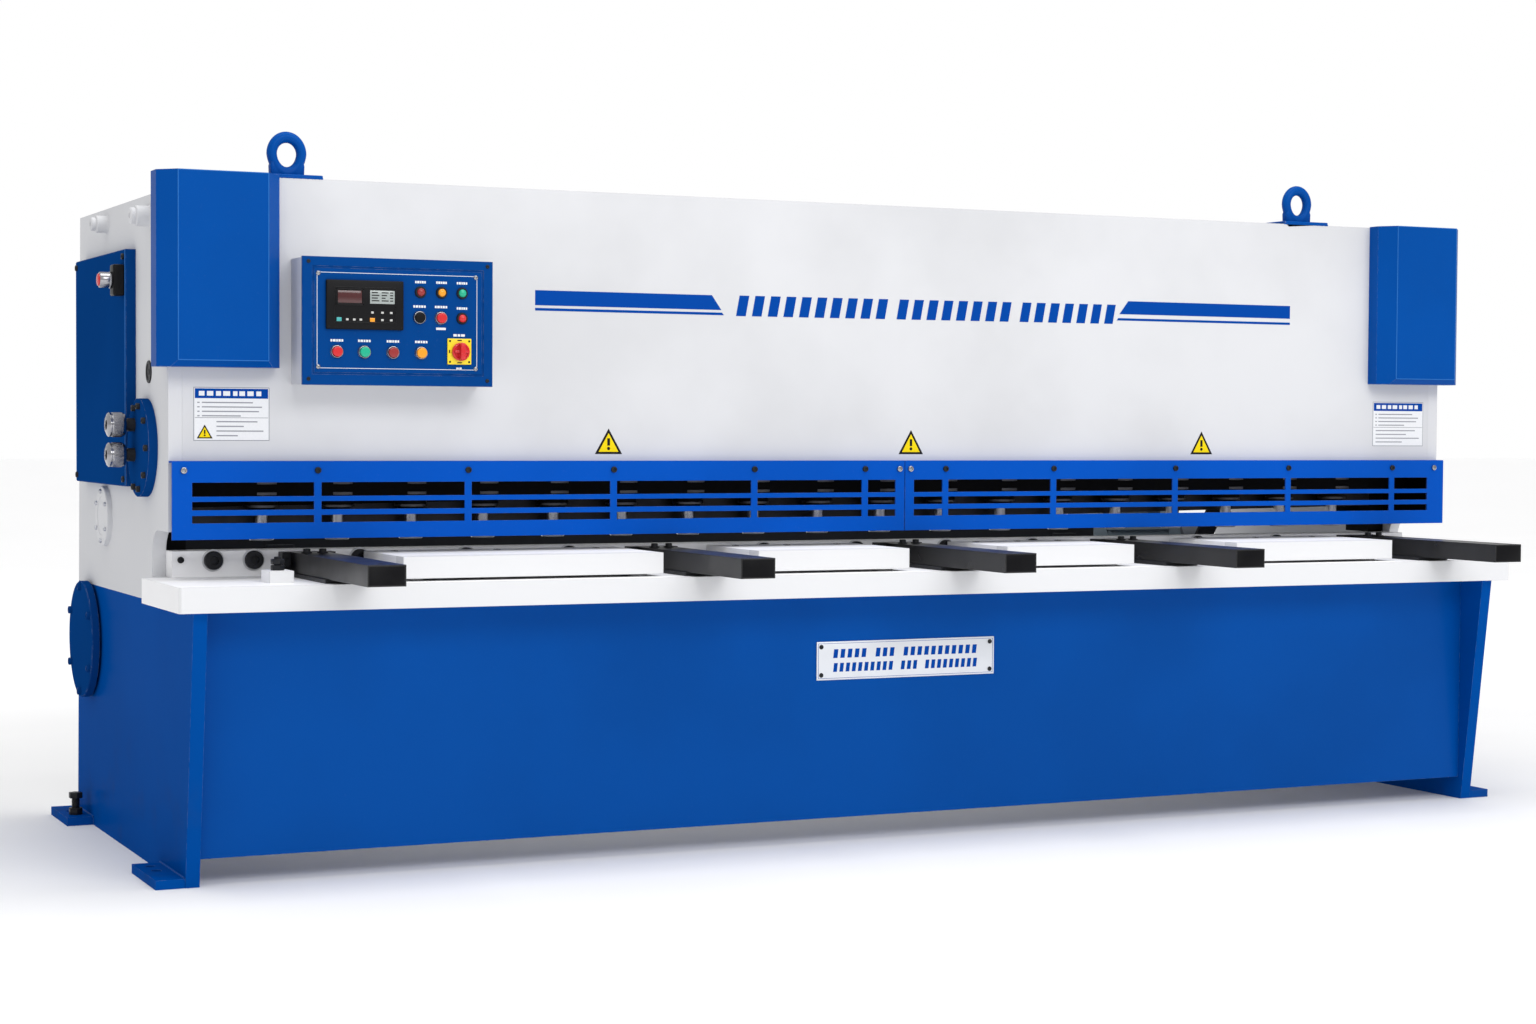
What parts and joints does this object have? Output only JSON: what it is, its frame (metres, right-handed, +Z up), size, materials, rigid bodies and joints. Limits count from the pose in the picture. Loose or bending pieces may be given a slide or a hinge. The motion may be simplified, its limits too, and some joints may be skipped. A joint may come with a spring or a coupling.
{
  "type": "guillotine plate shear",
  "caption": "Floor-standing mechanical guillotine shear that cuts sheet metal across a bed, with hold-downs, finger guard, support arms and a control panel.",
  "frame": {"origin": "centre of the four anchor holes, at floor level", "axes": "+X along the blades, to the operator's right; -Y towards the operator; +Z up"},
  "size_m": [3.544, 1.515, 1.6059],
  "materials": {
    "machine_blue": "deep blue satin machine paint",
    "guard_blue": "brighter blue powder coat",
    "machine_white": "cool white satin machine paint",
    "frame_grey": "grey machine paint",
    "black_steel": "black oxide and black paint",
    "bright_steel": "turned and ground steel",
    "tool_steel": "ground tool steel",
    "belt_rubber": "black rubber belt",
    "black_plastic": "black moulded plastic",
    "red_plastic": "bright red plastic",
    "dark_red_plastic": "dark red plastic",
    "green_plastic": "green plastic",
    "amber_plastic": "amber plastic",
    "yellow_plastic": "yellow plastic"
  },
  "bodies": {
    "frame": {"arm_brackets": "black_steel", "bearing_housings": "frame_grey", "bed_beam": "machine_white", "bed_bolts": "black_steel", "button_bezels": "bright_steel", "control_box": "machine_white", "control_fascia": "machine_blue", "cover_screws": "black_steel", "display_unit": "black_plastic", "drive_belt": "belt_rubber", "drive_cover": "machine_blue", "gap_flange": "machine_blue", "gauge_rails": "frame_grey", "guard_left": "guard_blue", "guard_right": "guard_blue", "hold_down_beam": "frame_grey", "hold_down_cylinders": "black_steel", "indicator_lamps": "dark_red_plastic", "left_side_plate": "machine_white", "left_top_cover": "machine_blue", "levelling_bolts": "black_steel", "lifting_eyes": "machine_blue", "lower_blade": "tool_steel", "lower_front_panel": "machine_blue", "motor": "frame_grey", "motor_stand": "frame_grey", "name_plate": "bright_steel", "ram_guides": "frame_grey", "rear_beams": "frame_grey", "right_side_plate": "machine_white", "right_top_cover": "machine_blue", "side_bosses": "machine_white", "side_cover": "machine_blue", "side_stop_base": "black_plastic", "support_arms": "black_steel", "switch_plate": "yellow_plastic", "table_blocks": "machine_white", "table_plate": "machine_white", "upper_front_panel": "machine_white"},
    "ram": {"ram": "frame_grey", "upper_blade": "tool_steel"},
    "main_shaft": {"main_shaft": "bright_steel", "main_gear": "bright_steel"},
    "countershaft": {"countershaft": "bright_steel"},
    "flywheel": {"flywheel": "black_steel"},
    "motor_pulley": {"motor_pulley": "black_steel"},
    "hold_downs": {"hold_down_feet": "bright_steel"},
    "back_gauge": {"gauge_beam": "frame_grey"},
    "gauge_screw_left": {"gauge_screw_left": "bright_steel"},
    "gauge_screw_right": {"gauge_screw_right": "bright_steel"},
    "gap_knob_lower": {"gap_knob_lower": "bright_steel"},
    "gap_knob_upper": {"gap_knob_upper": "bright_steel"},
    "main_switch": {"main_switch_knob": "red_plastic"},
    "side_stop": {"side_stop_button": "red_plastic"},
    "button_red": {"button_red": "red_plastic"},
    "button_green": {"button_green": "green_plastic"},
    "button_dark_red": {"button_dark_red": "dark_red_plastic"},
    "button_amber": {"button_amber": "amber_plastic"},
    "button_black": {"button_black": "black_plastic"},
    "button_stop": {"button_stop": "red_plastic"}
  },
  "joints": [
    {"name": "ram_slide", "type": "slide", "parent": "frame", "child": "ram", "axis": [0, 0, 1], "range_m": [-0.08, 0]},
    {"name": "main_shaft_turn", "type": "hinge", "parent": "frame", "child": "main_shaft", "pos_m": [0, -0.15, 1.23], "axis": [1, 0, 0], "range_deg": [0, 180]},
    {"name": "countershaft_turn", "type": "hinge", "parent": "frame", "child": "countershaft", "pos_m": [1.5, 0.12063, 1.1315], "axis": [1, 0, 0], "range_deg": [-630, 0]},
    {"name": "flywheel_spin", "type": "hinge", "parent": "frame", "child": "flywheel", "pos_m": [1.415, 0.12063, 1.1315], "axis": [1, 0, 0], "continuous": true},
    {"name": "motor_spin", "type": "hinge", "parent": "frame", "child": "motor_pulley", "pos_m": [1.415, 0.33, 0.64], "axis": [1, 0, 0], "continuous": true},
    {"name": "hold_down_slide", "type": "slide", "parent": "frame", "child": "hold_downs", "axis": [0, 0, 1], "range_m": [-0.0195, 0], "stiffness_N_per_m": 200000, "springref_m": 0.002},
    {"name": "gauge_slide", "type": "slide", "parent": "frame", "child": "back_gauge", "axis": [0, 1, 0], "range_m": [-0.25, 0.15]},
    {"name": "gauge_screw_left_turn", "type": "hinge", "parent": "frame", "child": "gauge_screw_left", "pos_m": [-1.3, 0.09, 0.59], "axis": [0, 1, 0], "range_deg": [-9001, 5401]},
    {"name": "gauge_screw_right_turn", "type": "hinge", "parent": "frame", "child": "gauge_screw_right", "pos_m": [0.9, 0.09, 0.59], "axis": [0, 1, 0], "range_deg": [-9001, 5401]},
    {"name": "gap_knob_lower_turn", "type": "hinge", "parent": "frame", "child": "gap_knob_lower", "pos_m": [-1.75, -0.203, 0.9], "axis": [1, 0, 0], "range_deg": [-180, 180]},
    {"name": "gap_knob_upper_turn", "type": "hinge", "parent": "frame", "child": "gap_knob_upper", "pos_m": [-1.75, -0.203, 0.966], "axis": [1, 0, 0], "range_deg": [-180, 180]},
    {"name": "main_switch_turn", "type": "hinge", "parent": "frame", "child": "main_switch", "pos_m": [-1.082, -0.54, 1.13], "axis": [0, 1, 0], "range_deg": [0, 90]},
    {"name": "side_stop_press", "type": "slide", "parent": "frame", "child": "side_stop", "axis": [1, 0, 0], "range_m": [0, 0.004], "stiffness_N_per_m": 600},
    {"name": "button_red_press", "type": "slide", "parent": "frame", "child": "button_red", "axis": [0, 1, 0], "range_m": [0, 0.004], "stiffness_N_per_m": 400},
    {"name": "button_green_press", "type": "slide", "parent": "frame", "child": "button_green", "axis": [0, 1, 0], "range_m": [0, 0.004], "stiffness_N_per_m": 400},
    {"name": "button_dark_red_press", "type": "slide", "parent": "frame", "child": "button_dark_red", "axis": [0, 1, 0], "range_m": [0, 0.004], "stiffness_N_per_m": 400},
    {"name": "button_amber_press", "type": "slide", "parent": "frame", "child": "button_amber", "axis": [0, 1, 0], "range_m": [0, 0.004], "stiffness_N_per_m": 400},
    {"name": "button_black_press", "type": "slide", "parent": "frame", "child": "button_black", "axis": [0, 1, 0], "range_m": [0, 0.004], "stiffness_N_per_m": 400},
    {"name": "button_stop_press", "type": "slide", "parent": "frame", "child": "button_stop", "axis": [0, 1, 0], "range_m": [0, 0.004], "stiffness_N_per_m": 400}
  ],
  "couplings": [
    {"joint": "main_shaft_turn", "follows": "ram_slide", "rad_per_m": -39.26},
    {"joint": "countershaft_turn", "follows": "ram_slide", "rad_per_m": 137.41},
    {"joint": "motor_spin", "follows": "flywheel_spin", "ratio": 2.8571},
    {"joint": "gauge_screw_left_turn", "follows": "gauge_slide", "rad_per_m": 628.32},
    {"joint": "gauge_screw_right_turn", "follows": "gauge_slide", "rad_per_m": 628.32}
  ]
}
